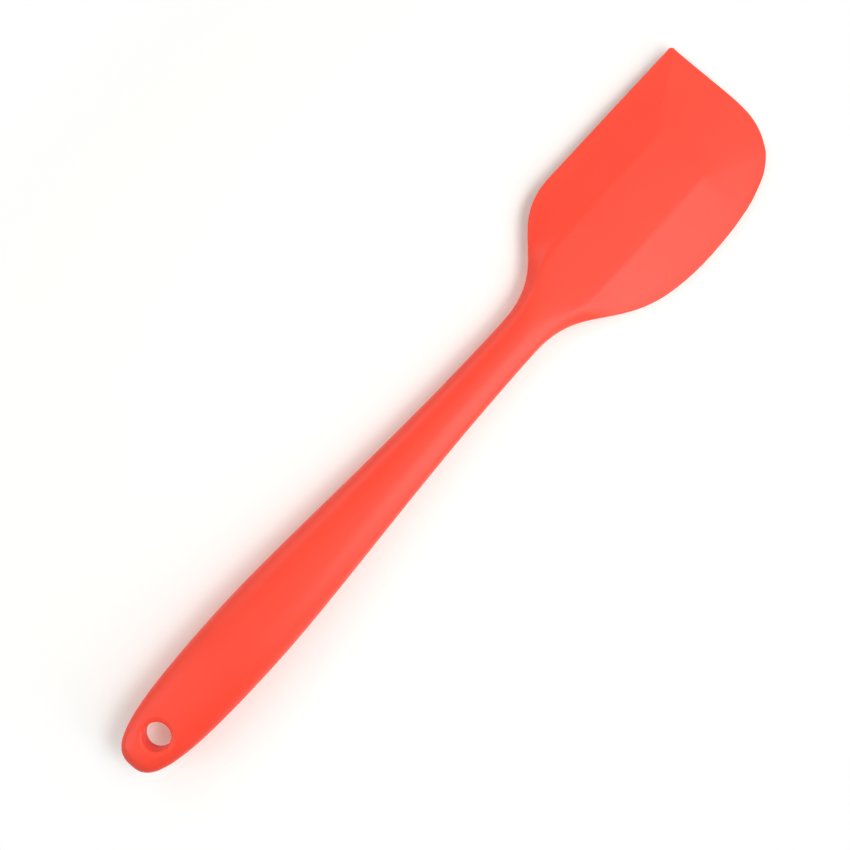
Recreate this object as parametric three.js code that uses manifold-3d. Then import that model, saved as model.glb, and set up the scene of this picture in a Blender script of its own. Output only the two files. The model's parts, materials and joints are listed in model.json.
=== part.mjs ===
// A one-piece silicone baking spatula: two silicone halves pressed round a stamped steel core.
// Millimetres. X runs along the tool from the tail to the tip, Y across it, Z through its thickness.
import * as THREE from "three";
import { mergeVertices } from "three/addons/utils/BufferGeometryUtils.js";
import Module from "manifold-3d";

// Driving dimensions: lengths along the tool
const TAIL_LENGTH = 51.7; // tail end to the widest place of the grip
const TAPER_LENGTH = 121.3; // widest place of the grip to the waist of the neck
const BLADE_LENGTH = 96.8; // waist of the neck to the foremost point of the tip
const LEFT_SHOULDER_LENGTH = 41; // waist to the start of the straight edge
const RIGHT_SHOULDER_LENGTH = 56; // waist to the widest place of the curved edge
const SPINE_START = 27; // waist to where the flat spine of the blade begins
const TIP_SLOPE_LENGTH = 22.6; // end of the flat spine to the tip

// Driving dimensions: widths
const GRIP_WIDTH = 23.8;
const NECK_WIDTH = 13.6;
const LEFT_REACH = 25.48; // axis to the straight edge
const RIGHT_REACH = 26.45; // axis to the curved edge
const LEFT_EDGE_DRAFT = 0.57; // how much the straight edge closes in towards the tip
const SPINE_LEFT = 10.5; // axis to the left side of the flat spine
const SPINE_RIGHT = 9.25; // axis to the right side of the flat spine
const CORNER_RADIUS = 1.3; // scraping corner between the straight edge and the tip
const TIP_LEAN = 1.1; // the scraping corner stands this far behind the foremost point
const TIP_CREST = 1; // the foremost point lies this far right of the axis
const ROUND_HIP_REACH = 17; // axis to where the right hip runs out on the round corner

// Driving dimensions: thicknesses
const TAIL_THICKNESS = 9;
const TAIL_NOSE = 5.5; // length over which the tail end is rounded
const GRIP_THICKNESS = 15.5;
const NECK_THICKNESS = 11;
const SPINE_THICKNESS = 7.2;
const EDGE_THICKNESS = 1.3;

// Driving dimensions: hang hole
const HANG_HOLE_DIAMETER = 8.5;
const HANG_HOLE_SETBACK = 12.5; // tail end to the middle of the hole
const HANG_HOLE_ROUNDING = 1.6;

// Driving dimensions: steel core and the pocket round it
const CORE_THICKNESS = 2;
const CORE_SETBACK = 27; // tail end to the core's end
const CORE_GRIP_WIDTH = 12;
const CORE_NECK_WIDTH = 7;
const CORE_TONGUE_WIDTH = 12.5;
const CORE_TIP_MARGIN = 10; // end of the core to the end of the flat spine
const FLOW_HOLE_DIAMETER = 5; // the silicone halves join through these holes
const FLOW_HOLE_PITCH = 21;
const GRIP_FLOW_HOLES = 4;
const TONGUE_FLOW_HOLES = 2;
const TONGUE_HOLE_PITCH = 15;
const POCKET_CLEARANCE = 0.3;

// Shape of the curves: how far each one runs on along its end tangents
const TAIL_RISE = 7.3;
const TAIL_BLUNTNESS = 4.2; // how far the tail's curve leans forward as it reaches full width
const TAPER_LEAVE = 28;
const TAPER_ARRIVE = 48.8;
const LEFT_SHOULDER_LEAVE = 23.3;
const LEFT_SHOULDER_ARRIVE = 20.5;
const RIGHT_SHOULDER_LEAVE = 23.5;
const RIGHT_SHOULDER_ARRIVE = 35.8;
const CORNER_LEAVE = 27.9;
const CORNER_ARRIVE = 19.5;
const SECTION_FULLNESS = 2.4; // exponent of the oval handle section, where 2 is an ellipse
const COVE = 1.55; // exponent of the hollow slopes beside the spine, where 1 is straight
const SPINE_IN_NECK = 0.72; // share of the half width that the spine takes as it runs out in the neck

// Mesh density and tolerances
const TAIL_STEPS = 12;
const TAPER_STEPS = 14;
const SHOULDER_STEPS = 14;
const SPINE_STEPS_ALONG = 5;
const TIP_STEPS = 10;
const SLOPE_STEPS = 5;
const SPINE_STEPS_ACROSS = 8;
const HOLE_SEGMENTS = 32;
const ROUNDING_STEPS = 4;
const CORE_CURVE_SEGMENTS = 10;
const BISECTIONS = 50;
const LEAST_AREA = 1e-7;
const WELD_DISTANCE = 1e-4;

// Places along the tool
const neckAt = TAIL_LENGTH + TAPER_LENGTH;
const length = neckAt + BLADE_LENGTH;
const spineStartAt = neckAt + SPINE_START;
const spineEndAt = length - TIP_SLOPE_LENGTH;
const leftShoulderAt = neckAt + LEFT_SHOULDER_LENGTH;
const rightShoulderAt = neckAt + RIGHT_SHOULDER_LENGTH;
const cornerAt = length - TIP_LEAN;

const wasm = await Module();
wasm.setup();

// Plan outline: the curves of the two sides, as distances from the axis
function bezier(...points) {
  return new THREE.CubicBezierCurve(...points.map(([x, y]) => new THREE.Vector2(x, y)));
}

const tailSide = bezier(
  [0, 0],
  [0, TAIL_RISE],
  [TAIL_BLUNTNESS, GRIP_WIDTH / 2],
  [TAIL_LENGTH, GRIP_WIDTH / 2],
);
const taperSide = bezier(
  [TAIL_LENGTH, GRIP_WIDTH / 2],
  [TAIL_LENGTH + TAPER_LEAVE, GRIP_WIDTH / 2],
  [neckAt - TAPER_ARRIVE, NECK_WIDTH / 2],
  [neckAt, NECK_WIDTH / 2],
);
const leftShoulder = bezier(
  [neckAt, NECK_WIDTH / 2],
  [neckAt + LEFT_SHOULDER_LEAVE, NECK_WIDTH / 2],
  [leftShoulderAt - LEFT_SHOULDER_ARRIVE, LEFT_REACH],
  [leftShoulderAt, LEFT_REACH],
);
const rightShoulder = bezier(
  [neckAt, NECK_WIDTH / 2],
  [neckAt + RIGHT_SHOULDER_LEAVE, NECK_WIDTH / 2],
  [rightShoulderAt - RIGHT_SHOULDER_ARRIVE, RIGHT_REACH],
  [rightShoulderAt, RIGHT_REACH],
);
const rightCorner = bezier(
  [rightShoulderAt, RIGHT_REACH],
  [rightShoulderAt + CORNER_LEAVE, RIGHT_REACH],
  [length, TIP_CREST + CORNER_ARRIVE],
  [length, TIP_CREST],
);

// Parameter up to which the points of a curve are short of a place that it reaches once
function parameterWhere(curve, isShort) {
  let low = 0;
  let high = 1;
  for (let step = 0; step < BISECTIONS; step += 1) {
    const middle = (low + high) / 2;
    if (isShort(curve.getPoint(middle))) low = middle;
    else high = middle;
  }
  return (low + high) / 2;
}

function heightOfCurve(curve, x) {
  return curve.getPoint(parameterWhere(curve, (point) => point.x < x)).y;
}

function straightEdge(x) {
  const along = (x - leftShoulderAt) / (cornerAt - leftShoulderAt);
  const edge = LEFT_REACH - LEFT_EDGE_DRAFT * along;
  const intoCorner = Math.max(0, x - (cornerAt - CORNER_RADIUS));
  const round = Math.sqrt(Math.max(0, CORNER_RADIUS ** 2 - intoCorner ** 2));
  return edge - CORNER_RADIUS + round;
}

function leftSide(x) {
  if (x <= TAIL_LENGTH) return heightOfCurve(tailSide, x);
  if (x <= neckAt) return heightOfCurve(taperSide, x);
  if (x <= leftShoulderAt) return heightOfCurve(leftShoulder, x);
  return straightEdge(x);
}

function rightSide(x) {
  if (x <= TAIL_LENGTH) return heightOfCurve(tailSide, x);
  if (x <= neckAt) return heightOfCurve(taperSide, x);
  if (x <= rightShoulderAt) return heightOfCurve(rightShoulder, x);
  return heightOfCurve(rightCorner, x);
}

// Side profile: half thickness on the axis
function crown(x) {
  const tail = TAIL_THICKNESS / 2;
  const grip = GRIP_THICKNESS / 2;
  const neck = NECK_THICKNESS / 2;
  const spine = SPINE_THICKNESS / 2;
  const nose = Math.max(0, 1 - x / TAIL_NOSE);
  const swell = THREE.MathUtils.smoothstep(x, 0, TAIL_LENGTH);
  const taper = THREE.MathUtils.smoothstep(x, TAIL_LENGTH, neckAt);
  const flatten = THREE.MathUtils.smoothstep(x, neckAt, spineStartAt);
  const body = tail + (grip - tail) * swell + (neck - grip) * taper + (spine - neck) * flatten;
  return body * Math.sqrt(1 - nose ** 2);
}

// Half thickness of the blade from its edge, where share is 0, to the flat spine, where it is 1
const edgeShare = EDGE_THICKNESS / 2 / (LEFT_REACH - SPINE_LEFT);
function slopeHeight(share, top) {
  const edge = EDGE_THICKNESS / 2;
  const insideRound = Math.max(0, 1 - share / edgeShare);
  return edge * Math.sqrt(1 - insideRound ** 2) + (top - edge) * share ** COVE;
}

// Shares of the slope at which the section has points, from the edge to the spine
const EDGE_ROUND_POINT = 0.3; // where the round of the edge has its middle point
const slopeShares = [0, edgeShare * EDGE_ROUND_POINT, edgeShare];
for (let step = 1; step <= SLOPE_STEPS; step += 1) {
  slopeShares.push(edgeShare + ((1 - edgeShare) * step) / SLOPE_STEPS);
}

// Blade section over plan points: a slope from each side up to its hip, and the middle between the hips;
// open is 1 along the spine and falls to 0 at the tip
function bladeSection(left, hipLeft, middle, hipRight, right, open, top) {
  const raise = (plan, share) => new THREE.Vector3(plan.x, plan.y, slopeHeight(share * open, top));
  const leftSlope = slopeShares.map((share) => raise(left.clone().lerp(hipLeft, share), share));
  const rightSlope = slopeShares.map((share) => raise(right.clone().lerp(hipRight, share), share));
  return [...leftSlope, ...middle.map((plan) => raise(plan, 1)), ...rightSlope.reverse()];
}

// Plan points that divide the run between two hips
function between(hipLeft, hipRight) {
  const points = [];
  for (let step = 1; step < SPINE_STEPS_ACROSS; step += 1) {
    points.push(hipLeft.clone().lerp(hipRight, step / SPINE_STEPS_ACROSS));
  }
  return points;
}

// Oval section of the handle, with as many points as the blade section
const sectionPoints = 2 * slopeShares.length + SPINE_STEPS_ACROSS - 1;
function ovalSection(x, left, right, top) {
  const points = [];
  for (let index = 0; index < sectionPoints; index += 1) {
    const angle = (Math.PI * index) / (sectionPoints - 1);
    const across = Math.cos(angle);
    const reach = across > 0 ? left : right;
    const y = Math.sign(across) * reach * Math.abs(across) ** (2 / SECTION_FULLNESS);
    const isSide = index === 0 || index === sectionPoints - 1;
    const z = isSide ? 0 : top * Math.sin(angle) ** (2 / SECTION_FULLNESS);
    points.push(new THREE.Vector3(x, y, z));
  }
  return points;
}

// Section square to the axis, which turns from the oval handle into the blade past the neck
function squareSection(x) {
  const left = leftSide(x);
  const right = rightSide(x);
  const top = crown(x);
  const oval = ovalSection(x, left, right, top);
  const turn = THREE.MathUtils.smoothstep(x, neckAt, spineStartAt);
  const sides = [left, -right].map((y) => new THREE.Vector2(x, y));
  const hipLeft = new THREE.Vector2(x, Math.min(SPINE_LEFT, left * SPINE_IN_NECK));
  const hipRight = new THREE.Vector2(x, -Math.min(SPINE_RIGHT, right * SPINE_IN_NECK));
  const blade = bladeSection(sides[0], hipLeft, between(hipLeft, hipRight), hipRight, sides[1], 1, top);
  return oval.map((point, index) => point.lerp(blade[index], turn));
}

// Tip outline from the scraping corner over the foremost point to where the right hip runs out;
// the round corner's curve is followed back from the foremost point
const scrapingCorner = new THREE.Vector2(cornerAt, leftSide(cornerAt));
const foremost = new THREE.Vector2(length, -TIP_CREST);
const roundHip = parameterWhere(rightCorner, (point) => point.y > ROUND_HIP_REACH);
const roundStart = parameterWhere(rightCorner, (point) => point.x < spineEndAt);

function roundCornerPoint(parameter) {
  const point = rightCorner.getPoint(parameter);
  return new THREE.Vector2(point.x, -point.y);
}

const tipRun = scrapingCorner.distanceTo(foremost);
const roundRun = foremost.distanceTo(roundCornerPoint(roundHip));
const crestShare = tipRun / (tipRun + roundRun);

function tipOutline(share) {
  if (share <= crestShare) return scrapingCorner.clone().lerp(foremost, share / crestShare);
  const back = (share - crestShare) / (1 - crestShare);
  return roundCornerPoint(THREE.MathUtils.lerp(1, roundHip, back));
}

// Section across the sloping tip, between the hips that run from the spine's end to the corners;
// way runs from the spine's end to the tip outline
function tipSection(way) {
  const leftX = THREE.MathUtils.lerp(spineEndAt, cornerAt, way);
  const left = new THREE.Vector2(leftX, leftSide(leftX));
  const right = roundCornerPoint(THREE.MathUtils.lerp(roundStart, roundHip, way));
  const run = [];
  for (let step = 0; step <= SPINE_STEPS_ACROSS; step += 1) {
    const share = step / SPINE_STEPS_ACROSS;
    const spineEnd = new THREE.Vector2(spineEndAt, THREE.MathUtils.lerp(SPINE_LEFT, -SPINE_RIGHT, share));
    run.push(spineEnd.lerp(tipOutline(share), way));
  }
  const middle = run.slice(1, -1);
  return bladeSection(left, run[0], middle, run.at(-1), right, 1 - way, SPINE_THICKNESS / 2);
}

// All sections of the front half, from the tail to the tip
function frontSections() {
  const sections = [];
  for (let step = 0; step < TAIL_STEPS; step += 1) {
    sections.push(squareSection(tailSide.getPoint(step / TAIL_STEPS).x));
  }
  for (let step = 0; step < TAPER_STEPS; step += 1) {
    sections.push(squareSection(TAIL_LENGTH + (TAPER_LENGTH * step) / TAPER_STEPS));
  }
  for (let step = 0; step < SHOULDER_STEPS; step += 1) {
    sections.push(squareSection(neckAt + (LEFT_SHOULDER_LENGTH * step) / SHOULDER_STEPS));
  }
  for (let step = 0; step < SPINE_STEPS_ALONG; step += 1) {
    const run = spineEndAt - leftShoulderAt;
    sections.push(squareSection(leftShoulderAt + (run * step) / SPINE_STEPS_ALONG));
  }
  for (let step = 0; step <= TIP_STEPS; step += 1) {
    sections.push(tipSection(Math.sin((Math.PI / 2) * (step / TIP_STEPS))));
  }
  return sections;
}

// Closed solid under the sections, with its flat side on the parting plane
function solidFromSections(sections) {
  const positions = [];
  const add = (a, b, c) => {
    const area = b.clone().sub(a).cross(c.clone().sub(a)).length();
    if (area > LEAST_AREA) positions.push(...a.toArray(), ...b.toArray(), ...c.toArray());
  };
  for (let s = 0; s + 1 < sections.length; s += 1) {
    const near = sections[s];
    const far = sections[s + 1];
    for (let p = 0; p + 1 < near.length; p += 1) {
      add(near[p], near[p + 1], far[p + 1]);
      add(near[p], far[p + 1], far[p]);
    }
    const last = near.length - 1;
    const isTip = s + 2 === sections.length;
    const farSide = isTip ? far : [far[0], far[last]];
    for (let p = 0; p + 1 < farSide.length; p += 1) add(near[0], farSide[p], farSide[p + 1]);
    add(near[0], far[last], near[last]);
  }
  const geometry = new THREE.BufferGeometry();
  geometry.setAttribute("position", new THREE.Float32BufferAttribute(positions, 3));
  return toSolid(geometry);
}

function toSolid(geometry) {
  const bare = geometry.clone();
  bare.deleteAttribute("normal");
  bare.deleteAttribute("uv");
  const merged = mergeVertices(bare, WELD_DISTANCE);
  const mesh = new wasm.Mesh({
    numProp: 3,
    vertProperties: new Float32Array(merged.attributes.position.array),
    triVerts: new Uint32Array(merged.index.array),
  });
  return new wasm.Manifold(mesh);
}

function toGeometry(solid) {
  const mesh = solid.getMesh();
  const geometry = new THREE.BufferGeometry();
  geometry.setAttribute("position", new THREE.BufferAttribute(mesh.vertProperties, 3));
  geometry.setIndex(new THREE.BufferAttribute(mesh.triVerts, 1));
  return geometry;
}

// Tool that cuts the hang hole down to the parting plane, with a rounded rim
function hangHoleCutter() {
  const radius = HANG_HOLE_DIAMETER / 2;
  const rimHeight = crown(HANG_HOLE_SETBACK);
  const profile = [new THREE.Vector2(0, -rimHeight), new THREE.Vector2(radius, -rimHeight)];
  for (let step = 0; step <= ROUNDING_STEPS; step += 1) {
    const angle = ((Math.PI / 2) * step) / ROUNDING_STEPS;
    const out = radius + HANG_HOLE_ROUNDING * (1 - Math.cos(angle));
    const up = rimHeight - HANG_HOLE_ROUNDING * (1 - Math.sin(angle));
    profile.push(new THREE.Vector2(out, up));
  }
  profile.push(new THREE.Vector2(radius + 2 * HANG_HOLE_ROUNDING, rimHeight + HANG_HOLE_ROUNDING));
  profile.push(new THREE.Vector2(0, rimHeight + HANG_HOLE_ROUNDING));
  const cutter = new THREE.LatheGeometry(profile, HOLE_SEGMENTS);
  cutter.rotateX(Math.PI / 2);
  cutter.translate(HANG_HOLE_SETBACK, 0, 0);
  return toSolid(cutter);
}

// Flow holes along the core, in its grip and in its tongue under the blade
const coreEndAt = spineEndAt - CORE_TIP_MARGIN;
const flowHoles = [];
for (let index = 0; index < GRIP_FLOW_HOLES; index += 1) {
  flowHoles.push(CORE_SETBACK + CORE_GRIP_WIDTH / 2 + FLOW_HOLE_PITCH * index);
}
for (let index = 0; index < TONGUE_FLOW_HOLES; index += 1) {
  flowHoles.push(coreEndAt - CORE_TONGUE_WIDTH / 2 - TONGUE_HOLE_PITCH * index);
}

// Flat steel strip: round ends, drawn in at the neck; grow widens it into the tool that cuts its pocket
function coreGeometry(grow) {
  const grip = CORE_GRIP_WIDTH / 2 + grow;
  const neck = CORE_NECK_WIDTH / 2 + grow;
  const tongue = CORE_TONGUE_WIDTH / 2 + grow;
  const gripEnd = CORE_SETBACK + CORE_GRIP_WIDTH / 2;
  const tongueEnd = coreEndAt - CORE_TONGUE_WIDTH / 2;
  const shape = new THREE.Shape();
  const waistLeave = (neckAt - TAIL_LENGTH) / 3;
  const waistArrive = (spineStartAt - neckAt) / 2;
  shape.absarc(gripEnd, 0, grip, Math.PI / 2, (3 * Math.PI) / 2, false);
  shape.lineTo(TAIL_LENGTH, -grip);
  shape.bezierCurveTo(TAIL_LENGTH + waistLeave, -grip, neckAt - waistLeave, -neck, neckAt, -neck);
  shape.bezierCurveTo(neckAt + waistArrive, -neck, neckAt + waistArrive, -tongue, spineStartAt, -tongue);
  shape.lineTo(tongueEnd, -tongue);
  shape.absarc(tongueEnd, 0, tongue, -Math.PI / 2, Math.PI / 2, false);
  shape.lineTo(spineStartAt, tongue);
  shape.bezierCurveTo(neckAt + waistArrive, tongue, neckAt + waistArrive, neck, neckAt, neck);
  shape.bezierCurveTo(neckAt - waistLeave, neck, TAIL_LENGTH + waistLeave, grip, TAIL_LENGTH, grip);
  for (const x of flowHoles) {
    const hole = new THREE.Path();
    hole.absarc(x, 0, FLOW_HOLE_DIAMETER / 2 - grow, 0, 2 * Math.PI, true);
    shape.holes.push(hole);
  }
  const depth = CORE_THICKNESS + 2 * grow;
  const settings = { depth, bevelEnabled: false, curveSegments: CORE_CURVE_SEGMENTS };
  const strip = new THREE.ExtrudeGeometry(shape, settings);
  strip.translate(0, 0, -depth / 2);
  return strip;
}

// Front silicone half, and its mirror image for the back
function siliconeHalf(side) {
  const half = solidFromSections(frontSections());
  const pocket = toSolid(coreGeometry(POCKET_CLEARANCE));
  const geometry = toGeometry(half.subtract(hangHoleCutter()).subtract(pocket));
  if (side === "front") return geometry;
  geometry.scale(1, 1, -1);
  const index = geometry.index.array;
  for (let corner = 0; corner < index.length; corner += 3) {
    [index[corner], index[corner + 1]] = [index[corner + 1], index[corner]];
  }
  return geometry;
}

const silicone = new THREE.MeshStandardMaterial({ color: 0xfb5644, roughness: 0.55, metalness: 0 });
const steel = new THREE.MeshStandardMaterial({ color: 0xb9bcc0, roughness: 0.35, metalness: 1 });

const spatula = new THREE.Group();
const frontMesh = new THREE.Mesh(siliconeHalf("front"), silicone.clone());
frontMesh.name = "silicone_front";
const backMesh = new THREE.Mesh(siliconeHalf("back"), silicone.clone());
backMesh.name = "silicone_back";
const coreMesh = new THREE.Mesh(coreGeometry(0), steel);
coreMesh.name = "steel_core";
spatula.add(frontMesh, backMesh, coreMesh);

// The origin is under the middle of the tool, level with its lowest point
spatula.position.set(-length / 2, (RIGHT_REACH - LEFT_REACH) / 2, GRIP_THICKNESS / 2);

export default spatula;
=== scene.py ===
import json
import math

import bmesh
import bpy
import numpy as np
from mathutils import Matrix, Vector


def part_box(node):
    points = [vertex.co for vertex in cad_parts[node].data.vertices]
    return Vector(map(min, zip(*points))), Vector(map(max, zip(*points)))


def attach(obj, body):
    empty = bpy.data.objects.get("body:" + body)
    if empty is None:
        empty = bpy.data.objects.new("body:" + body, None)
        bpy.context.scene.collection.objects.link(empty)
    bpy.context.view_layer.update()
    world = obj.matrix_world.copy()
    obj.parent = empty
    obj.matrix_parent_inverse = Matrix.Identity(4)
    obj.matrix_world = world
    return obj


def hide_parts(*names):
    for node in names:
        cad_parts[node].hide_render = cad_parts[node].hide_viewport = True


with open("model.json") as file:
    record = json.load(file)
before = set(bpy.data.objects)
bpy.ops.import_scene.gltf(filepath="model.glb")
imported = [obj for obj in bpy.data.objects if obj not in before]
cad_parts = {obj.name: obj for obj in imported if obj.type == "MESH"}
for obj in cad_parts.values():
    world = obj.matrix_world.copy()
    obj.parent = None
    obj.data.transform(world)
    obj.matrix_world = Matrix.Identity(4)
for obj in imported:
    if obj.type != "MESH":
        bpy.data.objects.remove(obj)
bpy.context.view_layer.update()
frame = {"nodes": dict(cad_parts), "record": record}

# Silicone body: grip, neck and blade are one matt coral-red moulding, pressed round the core in a two-part
# mould. Its front half is drawn out row by row from the tail, as wide and as thick as the CAD half is there,
# opened for the hang hole, mirrored on the mould's parting plane and smoothed.
MM = 0.001
COLUMNS = 20
SPINE_BEHIND_MOUNT = 23.6 * MM
SPINE_AHEAD_OF_MOUNT = 21.5 * MM
SPINE_WIDTH = 19.75 * MM
SPINE_IN_NECK = 0.72
NECK_TO_SPINE = 27 * MM
EDGE_THICKNESS = 1.3 * MM
EDGE_INSET = 0.25 * MM
SECTION_FULLNESS = 2.4
LEFT_HOLLOW = 1.75
RIGHT_HOLLOW = 1.3
TIP_HOLLOW = 1.75
CREASE_WIDTH = 1.6 * MM
NARROWEST_SPINE = 4 * CREASE_WIDTH
LARGEST_EDGE_SHARE = 0.06
LARGEST_CREASE_SHARE = 0.16
TIGHT_SLOPE_SHARES = (0.14, 0.4, 0.68)
SOFT_SLOPE_SHARES = (0.12, 0.3, 0.5, 0.72)
TIGHT_SPINE_SHARES = (0.22, 0.4, 0.6, 0.78)
SOFT_SPINE_SHARES = (0.2, 0.36, 0.52, 0.68, 0.84)
CORNER_RADIUS = 1.3 * MM
CORNER_SETBACK = 4 * CORNER_RADIUS
ROUND_HIP_REACH = 17.0 * MM
ROUND_SIDE_SHARE = 0.6
SOFT_HIP_WAY = 0.4
EVENING_ROUNDS = 4
OUTLINE_PULL = 6
HOLE_RADIUS = 4.25 * MM
HOLE_ROUNDING = 1.6 * MM
HOLE_SURROUND = 6.4 * MM
HOLE_MARGIN = 1 * MM
SMOOTHING_LEVELS = 2

front = frame["nodes"]["silicone_front"]
mounts = {mount["name"]: Vector(mount["pos_m"]) for mount in frame["record"]["mounts"]}
front_low, front_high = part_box("silicone_front")
parting = front_low.z
tail = front_low.x
tip = front_high.x
hole = mounts["hang_hole"]
axis_y = hole.y
spine = mounts["spine_front"]
spine_start = spine.x - SPINE_BEHIND_MOUNT
spine_end = spine.x + SPINE_AHEAD_OF_MOUNT
spine_left = spine.y + SPINE_WIDTH / 2
spine_right = spine.y - SPINE_WIDTH / 2
spine_top = spine.z - parting
neck = spine_start - NECK_TO_SPINE

cad_points = np.array([vertex.co for vertex in front.data.vertices])
cad_edges = np.array([edge.vertices for edge in front.data.edges])


def crossing(axis, place):
    """Points where the edges of the CAD half cross a plane square to an axis."""
    start = cad_points[cad_edges[:, 0]]
    end = cad_points[cad_edges[:, 1]]
    before = start[:, axis] - place
    after = end[:, axis] - place
    crosses = before * after < 0
    share = before[crosses] / (before[crosses] - after[crosses])
    return start[crosses] + share[:, None] * (end[crosses] - start[crosses])


def sides_at(x):
    """Where the left and the right side of the CAD half are."""
    across = crossing(0, x)[:, 1]
    return across.max(), across.min()


def tip_at(y):
    """Foremost point of the CAD half at a place across the blade."""
    return Vector((crossing(1, y)[:, 0].max(), y))


def measured_top(x):
    """Height of the CAD half over the parting plane."""
    return crossing(0, x)[:, 2].max() - parting


def top_at(x):
    """The same height, carried on across the hang hole."""
    clear = HOLE_RADIUS + HOLE_ROUNDING + HOLE_MARGIN
    if abs(x - hole.x) > clear:
        return measured_top(x)
    share = (x - hole.x + clear) / (2 * clear)
    return (1 - share) * measured_top(hole.x - clear) + share * measured_top(hole.x + clear)


def smooth_step(value, start, end):
    """Rises gently from 0 to 1 as the value goes from start to end."""
    share = min(max((value - start) / (end - start), 0), 1)
    return share * share * (3 - 2 * share)


def blade_height(share, top, hollow):
    """Height of a slope that rises from the thin edge, where share is 0; it is straight if hollow is 1."""
    return EDGE_THICKNESS / 2 + (top - EDGE_THICKNESS / 2) * share**hollow


def slope(side, hip, top, hollow, softness):
    """Points of one slope, from the blade's edge up to its hip, a tight crease where softness is 0."""
    width = (hip - side).length
    edge = min(EDGE_INSET / width, LARGEST_EDGE_SHARE)
    crease = min(CREASE_WIDTH / width, LARGEST_CREASE_SHARE)
    tight = (edge, *TIGHT_SLOPE_SHARES, 1 - crease, 1)
    soft = (edge, *SOFT_SLOPE_SHARES, 1)
    points = [Vector((*side, 0))]
    for share in (first + (second - first) * softness for first, second in zip(tight, soft)):
        points.append(Vector((*side.lerp(hip, share), blade_height(share, top, hollow))))
    return points


def oval(x, left, right, top):
    """Oval section of the grip and the neck."""
    points = []
    for column in range(COLUMNS):
        angle = math.pi * column / (COLUMNS - 1)
        across = math.copysign(abs(math.cos(angle)) ** (2 / SECTION_FULLNESS), math.cos(angle))
        reach = left - axis_y if across > 0 else axis_y - right
        height = top * abs(math.sin(angle)) ** (2 / SECTION_FULLNESS)
        points.append(Vector((x, axis_y + across * reach, height)))
    points[0].z = 0
    points[-1].z = 0
    return points


def spine_shares(width, softness):
    """Shares of the run between the hips, the outer ones close to hips that are tight creases."""
    inset = CREASE_WIDTH / max(width, NARROWEST_SPINE)
    tight = (inset, *TIGHT_SPINE_SHARES, 1 - inset)
    soft = (inset, *SOFT_SPINE_SHARES)
    return [first + (second - first) * softness for first, second in zip(tight, soft)]


def square_row(x, left_x, right_x):
    """Row across the tool: an oval that turns into the blade; left_x and right_x are where its ends lie."""
    left, right = sides_at(x)
    top = top_at(x)
    row = oval(x, left, right, top)
    turn = smooth_step(x, neck, spine_start)
    hip_left = Vector((x, min(spine_left, axis_y + (left - axis_y) * SPINE_IN_NECK)))
    hip_right = Vector((x, max(spine_right, axis_y + (right - axis_y) * SPINE_IN_NECK)))
    left_slope = slope(Vector((left_x, sides_at(left_x)[0])), hip_left, top, LEFT_HOLLOW, 0)
    right_slope = slope(Vector((right_x, sides_at(right_x)[1])), hip_right, top, RIGHT_HOLLOW, 0)
    shares = spine_shares((hip_left - hip_right).length, 0)
    middle = [Vector((*hip_left.lerp(hip_right, share), top)) for share in shares]
    blade = left_slope + middle + right_slope[::-1]
    return [point.lerp(target, turn) for point, target in zip(row, blade)]


scraping_corner = tip_at(sides_at(tip - CORNER_SETBACK)[0] - CORNER_RADIUS)
round_corner = tip_at(axis_y - ROUND_HIP_REACH)
left_run = scraping_corner.x - CORNER_RADIUS - spine_end
right_run = (round_corner.x - spine_end) * ROUND_SIDE_SHARE
round_start = sides_at(spine_end + right_run)[1]


def scraping_arc(share):
    """Outline round the scraping corner."""
    angle = share * math.pi / 2
    return scraping_corner + CORNER_RADIUS * Vector((math.sin(angle) - 1, math.cos(angle)))


def round_arc(share):
    """Outline of the round corner, up to where the right hip runs out on it."""
    return tip_at(round_start + (round_corner.y - round_start) * share)


def tip_slope(way, start, spine_corner, outline_at, hollow, softness):
    """Points beside one hip of the tip, which spread along the outline as the hip nears its corner."""
    hip = Vector((spine_end, spine_corner)).lerp(outline_at(1), way)
    points = slope(start, hip, blade_height(1 - way, spine_top, TIP_HOLLOW), hollow, softness)
    for index, point in enumerate(points):
        share = index / (len(points) - 1)
        point.xy = point.xy.lerp(outline_at(share), way**OUTLINE_PULL)
    return points


def tip_row(way, left_x, right_x):
    """Row across the sloping tip, between the hips that run from the spine's end to the two corners."""
    softness = smooth_step(way, 0, SOFT_HIP_WAY) * smooth_step(1 - way, 0, SOFT_HIP_WAY)
    left = Vector((left_x, sides_at(left_x)[0]))
    right = Vector((right_x, sides_at(right_x)[1]))
    left_slope = tip_slope(way, left, spine_left, scraping_arc, LEFT_HOLLOW, 0)
    right_slope = tip_slope(way, right, spine_right, round_arc, RIGHT_HOLLOW, softness)
    middle = []
    for share in spine_shares(SPINE_WIDTH, softness):
        start = Vector((spine_end, spine_left + (spine_right - spine_left) * share))
        end = tip_at(scraping_corner.y + (round_corner.y - scraping_corner.y) * share)
        middle.append(Vector((*start.lerp(end, way), blade_height(1 - way, spine_top, TIP_HOLLOW))))
    return left_slope + middle + right_slope[::-1]


def evened(places):
    """Places of rows along one side, evened out so that they don't crowd together at the edge."""
    for attempt in range(EVENING_ROUNDS):
        middle = [sum(three) / 3 for three in zip(places, places[1:], places[2:])]
        places = [places[0], *middle, places[-1]]
    return places


# Distances of the rows from the tail in millimetres, then shares of the tip's rows on the way to its edge
TAIL_ROWS = (0.05, 0.3, 0.9, 1.9, 3.2, 4.7, 6.6, 8.8, 11.2, 13.8, 16.2, 18.4)
GRIP_ROWS = (22, 28, 36, 46, 57, 69, 82, 96, 110, 124, 138, 151)
NECK_ROWS = (163, 173, 179, 184, 188, 192, 196, 200)
SPINE_ROWS = (205, 211)
BLADE_ROWS = (218, 226, 234, 241)
TIP_WAYS = (0.17, 0.3, 0.46, 0.62, 0.76, 0.87, 0.95, 0.989)

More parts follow.
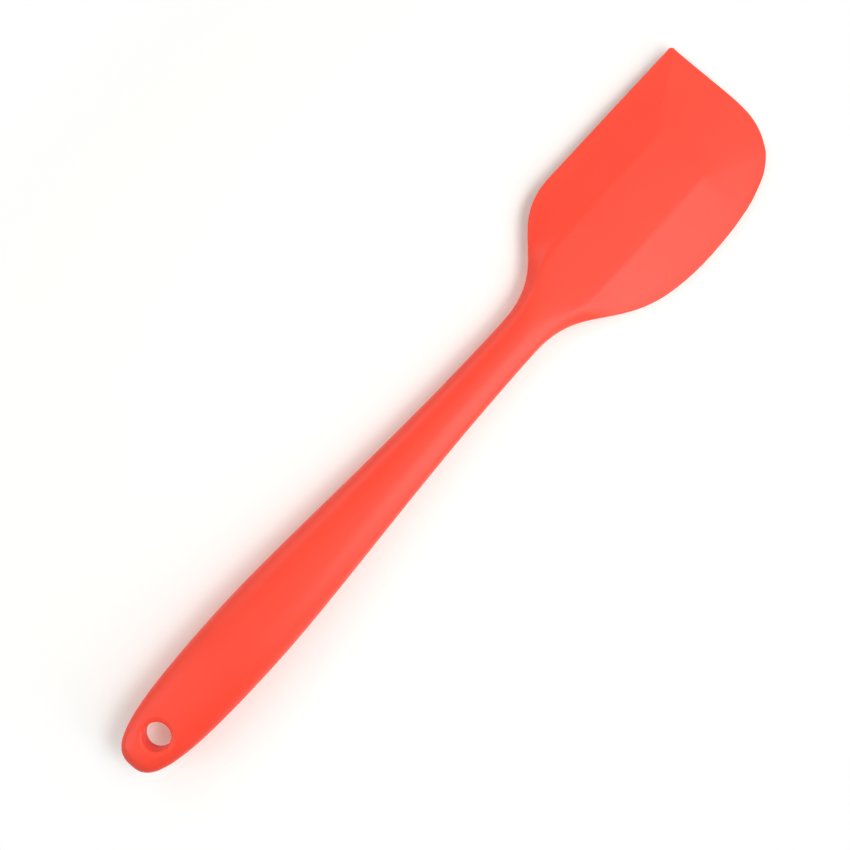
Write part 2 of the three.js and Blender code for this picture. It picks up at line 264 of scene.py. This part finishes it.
rows = []
for setback in TAIL_ROWS + GRIP_ROWS + NECK_ROWS + SPINE_ROWS:
    x = tail + setback * MM
    rows.append(square_row(x, x, x))
blade_places = [tail + setback * MM for setback in BLADE_ROWS] + [spine_end - CREASE_WIDTH]
ways = (0, CREASE_WIDTH / (tip - spine_end), *TIP_WAYS, 1)
left_places = evened(blade_places + [spine_end + left_run * way for way in ways])
right_steps = [index / (len(ways) - 1) for index in range(len(ways))]
right_places = evened(blade_places + [spine_end + right_run * step for step in right_steps])
for x, left_x, right_x in zip(blade_places, left_places, right_places):
    rows.append(square_row(x, left_x, right_x))
for way, left_x, right_x in zip(ways, left_places[len(blade_places):], right_places[len(blade_places):]):
    rows.append(tip_row(way, left_x, right_x))

# The last row goes down on the parting plane, round the tip's thin edge
for point in rows[-1]:
    point.z = 0

# The front half of an upright circle becomes the first row, and each next row is drawn out of the last
START_RADIUS = 1 * MM
DRAW_STEP = 1 * MM
CLOSE = 0.01 * MM
bpy.ops.object.select_all(action="DESELECT")
bpy.ops.mesh.primitive_circle_add(vertices=2 * COLUMNS - 2, radius=START_RADIUS, rotation=(0, math.pi / 2, 0))
body = bpy.context.object
body.name = "silicone_body"
bpy.ops.object.transform_apply(location=True, rotation=True, scale=True)
bpy.ops.object.mode_set(mode="EDIT")


def select_only(kind, is_wanted):
    """Selects the verts, edges or faces of the edited mesh for which is_wanted is true."""
    bpy.ops.mesh.select_all(action="DESELECT")
    edited = bmesh.from_edit_mesh(bpy.context.object.data)
    for element in getattr(edited, kind):
        if is_wanted(element):
            element.select = True
    edited.select_flush_mode()


def place_selected(order, points):
    """Puts the selected points of the edited mesh, sorted by order, on new places."""
    edited = bmesh.from_edit_mesh(bpy.context.object.data)
    chosen = sorted((vertex for vertex in edited.verts if vertex.select), key=order)
    for vertex, point in zip(chosen, points):
        vertex.co = point
    bmesh.update_edit_mesh(bpy.context.object.data)


def from_left_to_right(vertex):
    """Order of the points in one row."""
    return -vertex.co.y


select_only("verts", lambda vertex: vertex.co.z < -CLOSE)
bpy.ops.mesh.delete(type="VERT")
bpy.ops.mesh.select_all(action="SELECT")
place_selected(from_left_to_right, rows[0])
for row in rows[1:]:
    bpy.ops.mesh.extrude_edges_move(TRANSFORM_OT_translate={"value": (DRAW_STEP, 0, 0)})
    place_selected(from_left_to_right, row)

# At the cage's two corner points both halves would meet in a flat flap, so the outline passes by them
corner_points = (rows[-1][0], rows[-1][-1])
select_only("verts", lambda vertex: any((vertex.co - point).length < CLOSE for point in corner_points))
bpy.ops.mesh.dissolve_verts()

# The tail is closed by drawing its first row together on the axis
select_only("verts", lambda vertex: abs(vertex.co.x - rows[0][0].x) < CLOSE)
bpy.ops.mesh.extrude_edges_move(TRANSFORM_OT_translate={"value": (-DRAW_STEP, 0, 0)})
bpy.ops.mesh.merge(type="CENTER")
place_selected(from_left_to_right, [Vector((tail, axis_y, 0))])

# Hang hole: a patch of the cage is taken out, its border drawn round and its bore led to the parting plane
HOLE_ROWS = slice(6, 12)
HOLE_COLUMNS = slice(6, 14)
MATCHED_DIGITS = 3


def rounded(point):
    """Place of a point in millimetres, rounded so that places can be compared."""
    return tuple(round(value / MM, MATCHED_DIGITS) for value in point)


patch = {rounded(point) for row in rows[HOLE_ROWS] for point in row[HOLE_COLUMNS]}


def is_in_patch(element):
    """Is true for edges and faces of which all corners lie in the patch."""
    return all(rounded(vertex.co) in patch for vertex in element.verts)


select_only("faces", is_in_patch)
bpy.ops.mesh.delete(type="FACE")


def surface_height(x, y):
    """Height of the oval grip over the parting plane."""
    left, right = sides_at(x)
    share = abs(y - axis_y) / ((left - right) / 2)
    return top_at(x) * (1 - share**SECTION_FULLNESS) ** (1 / SECTION_FULLNESS)


HOLE_POINTS = 24
ROUNDING_REACH = 0.3
ROUNDING_SINK = 0.25


def round_the_hole(vertex):
    """Order of the points in one ring."""
    return math.atan2(vertex.co.y - hole.y, vertex.co.x - hole.x)


def ring(radius, sink):
    """Circle round the hole, sunk under the grip's surface, or on the parting plane if sink is None."""
    points = []
    for index in range(HOLE_POINTS):
        angle = 2 * math.pi * (index + 0.5) / HOLE_POINTS - math.pi
        x = hole.x + radius * math.cos(angle)
        y = hole.y + radius * math.sin(angle)
        points.append(Vector((x, y, 0 if sink is None else surface_height(x, y) - sink)))
    return points


select_only("edges", lambda edge: edge.is_boundary and is_in_patch(edge))
place_selected(round_the_hole, ring(HOLE_SURROUND, 0))
for radius, sink in (
    (HOLE_RADIUS + HOLE_ROUNDING, 0),
    (HOLE_RADIUS + ROUNDING_REACH * HOLE_ROUNDING, ROUNDING_SINK * HOLE_ROUNDING),
    (HOLE_RADIUS, HOLE_ROUNDING),
    (HOLE_RADIUS, None),
):
    bpy.ops.mesh.extrude_edges_move(TRANSFORM_OT_translate={"value": (0, 0, -DRAW_STEP)})
    place_selected(round_the_hole, ring(radius, sink))

bpy.ops.mesh.select_all(action="SELECT")
bpy.ops.mesh.normals_make_consistent(inside=False)
bpy.ops.object.mode_set(mode="OBJECT")

mirror = body.modifiers.new("parting_plane", "MIRROR")
mirror.use_axis = (False, False, True)
mirror.merge_threshold = CLOSE
bpy.ops.object.modifier_apply(modifier=mirror.name)
smoothing = body.modifiers.new("smoothing", "SUBSURF")
smoothing.levels = SMOOTHING_LEVELS
smoothing.render_levels = SMOOTHING_LEVELS

# Smoothing draws the outline in, so the cage is let out until the smooth outline is as large as the CAD's
FITTING_ROUNDS = 4
outline = {}
for vertex in body.data.vertices:
    if vertex.co.x < neck or abs(vertex.co.z) < EDGE_THICKNESS:
        outline[vertex.index] = vertex.co.copy()
for attempt in range(FITTING_ROUNDS):
    smooth = body.evaluated_get(bpy.context.evaluated_depsgraph_get()).data
    misses = {index: target - smooth.vertices[index].co for index, target in outline.items()}
    for index, miss in misses.items():
        body.data.vertices[index].co += miss
    body.data.update()
bpy.ops.object.modifier_apply(modifier=smoothing.name)

bpy.ops.object.mode_set(mode="EDIT")
bpy.ops.mesh.select_all(action="SELECT")
bpy.ops.transform.translate(value=(0, 0, parting))
bpy.ops.mesh.normals_make_consistent(inside=False)
bpy.ops.object.mode_set(mode="OBJECT")
bpy.ops.object.shade_smooth()


class Field:
    """One output among a material's nodes, used in expressions as a number is."""

    def __init__(self, tree, output=None):
        self.tree = tree
        self.output = output

    def node(self, kind, settings, sockets, result=0):
        """Adds any node: its settings are set first, then its sockets get their values or links."""
        added = self.tree.nodes.new(kind)
        for name, value in settings.items():
            setattr(added, name, value)
        for name, value in sockets.items():
            if isinstance(value, Field):
                self.tree.links.new(value.output, added.inputs[name])
            else:
                added.inputs[name].default_value = value
        return Field(self.tree, added.outputs[result]) if added.outputs else added

    def maths(self, operation, first, second):
        """Adds a Math node that joins two values, either of which may be a plain number."""
        return self.node("ShaderNodeMath", {"operation": operation}, {0: first, 1: second})

    def __add__(self, other):
        return self.maths("ADD", self, other)

    def __radd__(self, other):
        return self.maths("ADD", other, self)

    def __mul__(self, other):
        return self.maths("MULTIPLY", self, other)

    def __rmul__(self, other):
        return self.maths("MULTIPLY", other, self)


# The Mix node has sockets for each kind of value under the same names, so those for colours go by number
MIX_FACTOR = 0
MIX_FIRST_COLOUR = 6
MIX_SECOND_COLOUR = 7
MIX_COLOUR_RESULT = 2


def mixed_colour(factor, first, second):
    """Colour that runs from the first to the second as the factor goes from 0 to 1."""
    sockets = {MIX_FACTOR: factor, MIX_FIRST_COLOUR: (*first, 1), MIX_SECOND_COLOUR: (*second, 1)}
    return factor.node("ShaderNodeMix", {"data_type": "RGBA"}, sockets, MIX_COLOUR_RESULT)


SILICONE_DEEP = (0.93, 0.054, 0.025)
SILICONE_LIGHT = (0.97, 0.064, 0.031)
SILICONE_ROUGHNESS = 0.38
SILICONE_ROUGHNESS_SPREAD = 0.06
SILICONE_IOR = 1.41
CLOUD_SCALE = 70.0
CLOUD_DETAIL = 3.0
GRAIN_SCALE = 2600.0
GRAIN_DETAIL = 2.0
GRAIN_STRENGTH = 0.25
GRAIN_DEPTH = 0.03 * MM
silicone = bpy.data.materials.new("matt_silicone")
silicone.use_nodes = True
silicone.node_tree.nodes.clear()
start = Field(silicone.node_tree)
place = start.node("ShaderNodeTexCoord", {}, {}, "Object")
clouds = place.node("ShaderNodeTexNoise", {}, {"Vector": place, "Scale": CLOUD_SCALE, "Detail": CLOUD_DETAIL})
grain = place.node("ShaderNodeTexNoise", {}, {"Vector": place, "Scale": GRAIN_SCALE, "Detail": GRAIN_DETAIL})
relief = {"Strength": GRAIN_STRENGTH, "Distance": GRAIN_DEPTH, "Height": grain}
pits = place.node("ShaderNodeBump", {}, relief)
surface = place.node(
    "ShaderNodeBsdfPrincipled",
    {},
    {
        "Base Color": mixed_colour(clouds, SILICONE_DEEP, SILICONE_LIGHT),
        "Roughness": SILICONE_ROUGHNESS + SILICONE_ROUGHNESS_SPREAD * clouds,
        "IOR": SILICONE_IOR,
        "Normal": pits,
    },
)
place.node("ShaderNodeOutputMaterial", {}, {"Surface": surface})
body.data.materials.append(silicone)
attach(body, "root")
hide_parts("silicone_front", "silicone_back")

# Steel core: a stamped strip of stainless sheet inside the silicone, which never shows.
# Its CAD solid stays as it is and takes the grain that the rolling mill leaves along the strip.
core = frame["nodes"]["steel_core"]
STEEL_DARK = (0.50, 0.51, 0.53)
STEEL_LIGHT = (0.68, 0.69, 0.71)
STEEL_ROUGHNESS = 0.28
STEEL_ROUGHNESS_SPREAD = 0.2
STREAK_SCALE = (20.0, 900.0, 900.0)
STREAK_DETAIL = 4.0
steel = bpy.data.materials.new("rolled_steel")
steel.use_nodes = True
steel.node_tree.nodes.clear()
start = Field(steel.node_tree)
place = start.node("ShaderNodeTexCoord", {}, {}, "Object")
along = place.node("ShaderNodeMapping", {}, {"Vector": place, "Scale": STREAK_SCALE})
streaks = place.node("ShaderNodeTexNoise", {}, {"Vector": along, "Scale": 1.0, "Detail": STREAK_DETAIL})
surface = place.node(
    "ShaderNodeBsdfPrincipled",
    {},
    {
        "Base Color": mixed_colour(streaks, STEEL_DARK, STEEL_LIGHT),
        "Metallic": 1.0,
        "Roughness": STEEL_ROUGHNESS + STEEL_ROUGHNESS_SPREAD * streaks,
    },
)
place.node("ShaderNodeOutputMaterial", {}, {"Surface": surface})
core.data.materials.clear()
core.data.materials.append(steel)

# Worktop: a plain white sheet that the tool lies on, touching it with the belly of the grip and the neck.
# It leans by the small angle between those two, and the camera looks square down on it.
# It takes the tool's shadow, and from about the ends of the tool outwards it fades to plain white.
SHEET_SIZE = 3.0
WHITE = (1, 1, 1, 1)
SHEET_COLOUR = (0.97, 0.97, 0.97)
SHEET_GLOW = (0.06, 0.06, 0.03)
SHEET_FADE_START = 122 * MM
SHEET_FADE_END = 165 * MM
back_points = np.array([vertex.co for vertex in frame["nodes"]["silicone_back"].data.vertices])
belly = Vector(back_points[back_points[:, 2].argmin()])
ahead = back_points[back_points[:, 0] > 0]
lean = ((ahead[:, 2] - belly.z) / (ahead[:, 0] - belly.x)).min()
worktop_normal = Vector((-lean, 0, 1)).normalized()
worktop_point = Vector((0, 0, belly.z - belly.x * lean))
bpy.ops.object.select_all(action="DESELECT")
bpy.ops.mesh.primitive_plane_add(size=SHEET_SIZE)
worktop = bpy.context.object
worktop.name = "worktop"
worktop_turn = worktop_normal.to_track_quat("Z", "Y").to_matrix().to_4x4()
worktop.matrix_world = Matrix.Translation(worktop_point) @ worktop_turn


def seen_by_eye(start):
    """Is 1 for rays from the camera, from gloss and through glass, and 0 for rays that light the object."""
    seen = start.node("ShaderNodeLightPath", {}, {}, "Is Camera Ray")
    for ray in ("Is Glossy Ray", "Is Transmission Ray"):
        seen = start.maths("MAXIMUM", seen, start.node("ShaderNodeLightPath", {}, {}, ray))
    return seen


sheet = bpy.data.materials.new("white_sheet")
sheet.use_nodes = True
sheet.node_tree.nodes.clear()
start = Field(sheet.node_tree)
seen = seen_by_eye(start)
matt = start.node("ShaderNodeBsdfDiffuse", {}, {"Color": (*SHEET_COLOUR, 1)})
glow = start.node("ShaderNodeEmission", {}, {"Color": (*SHEET_GLOW, 1), "Strength": seen})
near = start.node("ShaderNodeAddShader", {}, {0: matt, 1: glow})
far = start.node("ShaderNodeEmission", {}, {"Color": WHITE, "Strength": seen})
place = start.node("ShaderNodeTexCoord", {}, {}, "Object")
reach = start.node("ShaderNodeVectorMath", {"operation": "LENGTH"}, {0: place}, "Value")
fade_limits = {"Value": reach, "From Min": SHEET_FADE_START, "From Max": SHEET_FADE_END}
fade = start.node("ShaderNodeMapRange", {"interpolation_type": "SMOOTHSTEP"}, fade_limits)
surface = start.node("ShaderNodeMixShader", {}, {0: fade, 1: near, 2: far})
start.node("ShaderNodeOutputMaterial", {}, {"Surface": surface})
worktop.data.materials.append(sheet)

# Studio light: ten soft square lamps stand round the tool, low ones for the flanks of the handle and higher
# ones for the broad faces. The white surround is only seen, also in gloss, and adds no other light.
VIEW_CENTRE = Vector((-0.66 * MM, 3.60 * MM, 0))
VIEW_TURN = math.radians(47.8)
image_right = Vector((math.cos(VIEW_TURN), -math.sin(VIEW_TURN), 0))
image_up = Vector((math.sin(VIEW_TURN), math.cos(VIEW_TURN), 0))


def soft_lamp(name, right, up, height, size, power):
    """Square lamp in metres and watts, placed by its offset in the picture and turned to the middle."""
    data = bpy.data.lights.new(name, "AREA")
    data.size = size
    data.energy = power
    lamp = bpy.data.objects.new(name, data)
    lamp.location = VIEW_CENTRE + image_right * right + image_up * up + Vector((0, 0, height))
    lamp.rotation_euler = (VIEW_CENTRE - lamp.location).to_track_quat("-Z", "Y").to_euler()
    bpy.context.scene.collection.objects.link(lamp)


soft_lamp("tail_lamp", right=-0.6, up=-0.3, height=0.6, size=0.7, power=1.4)
soft_lamp("low_tail_lamp", right=-0.5, up=-0.1, height=0.22, size=0.3, power=0.6)
soft_lamp("low_left_lamp", right=-0.4, up=0.45, height=0.2, size=0.4, power=0.42)
soft_lamp("back_left_lamp", right=-0.7, up=0.7, height=0.6, size=0.5, power=1.75)
soft_lamp("back_lamp", right=0.0, up=0.6, height=0.6, size=0.5, power=0.75)
soft_lamp("right_lamp", right=0.6, up=0.3, height=0.6, size=0.5, power=1.5)
soft_lamp("near_right_lamp", right=0.3, up=0.0, height=0.6, size=0.3, power=1.1)
soft_lamp("low_right_lamp", right=0.45, up=-0.25, height=0.22, size=0.3, power=1.15)
soft_lamp("neck_lamp", right=0.2, up=-0.15, height=0.35, size=0.2, power=0.58)
soft_lamp("overhead_lamp", right=-0.15, up=-0.15, height=0.9, size=0.6, power=0.7)
world = bpy.data.worlds.new("studio")
bpy.context.scene.world = world
world.use_nodes = True
world.node_tree.nodes.clear()
start = Field(world.node_tree)
surround = start.node("ShaderNodeBackground", {}, {"Color": WHITE, "Strength": seen_by_eye(start)})
start.node("ShaderNodeOutputWorld", {}, {"Surface": surround})

# Camera: it looks square down on the worktop, from over the middle of the picture.
# Its lens is set so that VIEW_WIDTH fills the picture at VIEW_LEVEL over the worktop.
SENSOR_WIDTH = 36
CAMERA_HEIGHT = 426 * MM
VIEW_WIDTH = 255.3 * MM
VIEW_LEVEL = 6 * MM
camera_data = bpy.data.cameras.new("camera")
camera_data.sensor_width = SENSOR_WIDTH
camera_data.lens = SENSOR_WIDTH * (CAMERA_HEIGHT - VIEW_LEVEL) / VIEW_WIDTH
camera = bpy.data.objects.new("camera", camera_data)
floor_height = worktop_point.z + (VIEW_CENTRE.x - worktop_point.x) * lean
below = Vector((VIEW_CENTRE.x, VIEW_CENTRE.y, floor_height))
camera_up = (image_up - worktop_normal * image_up.dot(worktop_normal)).normalized()
camera_right = camera_up.cross(worktop_normal)
turned = Matrix((camera_right, camera_up, worktop_normal)).transposed().to_4x4()
camera.matrix_world = Matrix.Translation(below + worktop_normal * CAMERA_HEIGHT) @ turned
bpy.context.scene.collection.objects.link(camera)
bpy.context.scene.camera = camera
bpy.context.scene.view_settings.view_transform = "Standard"
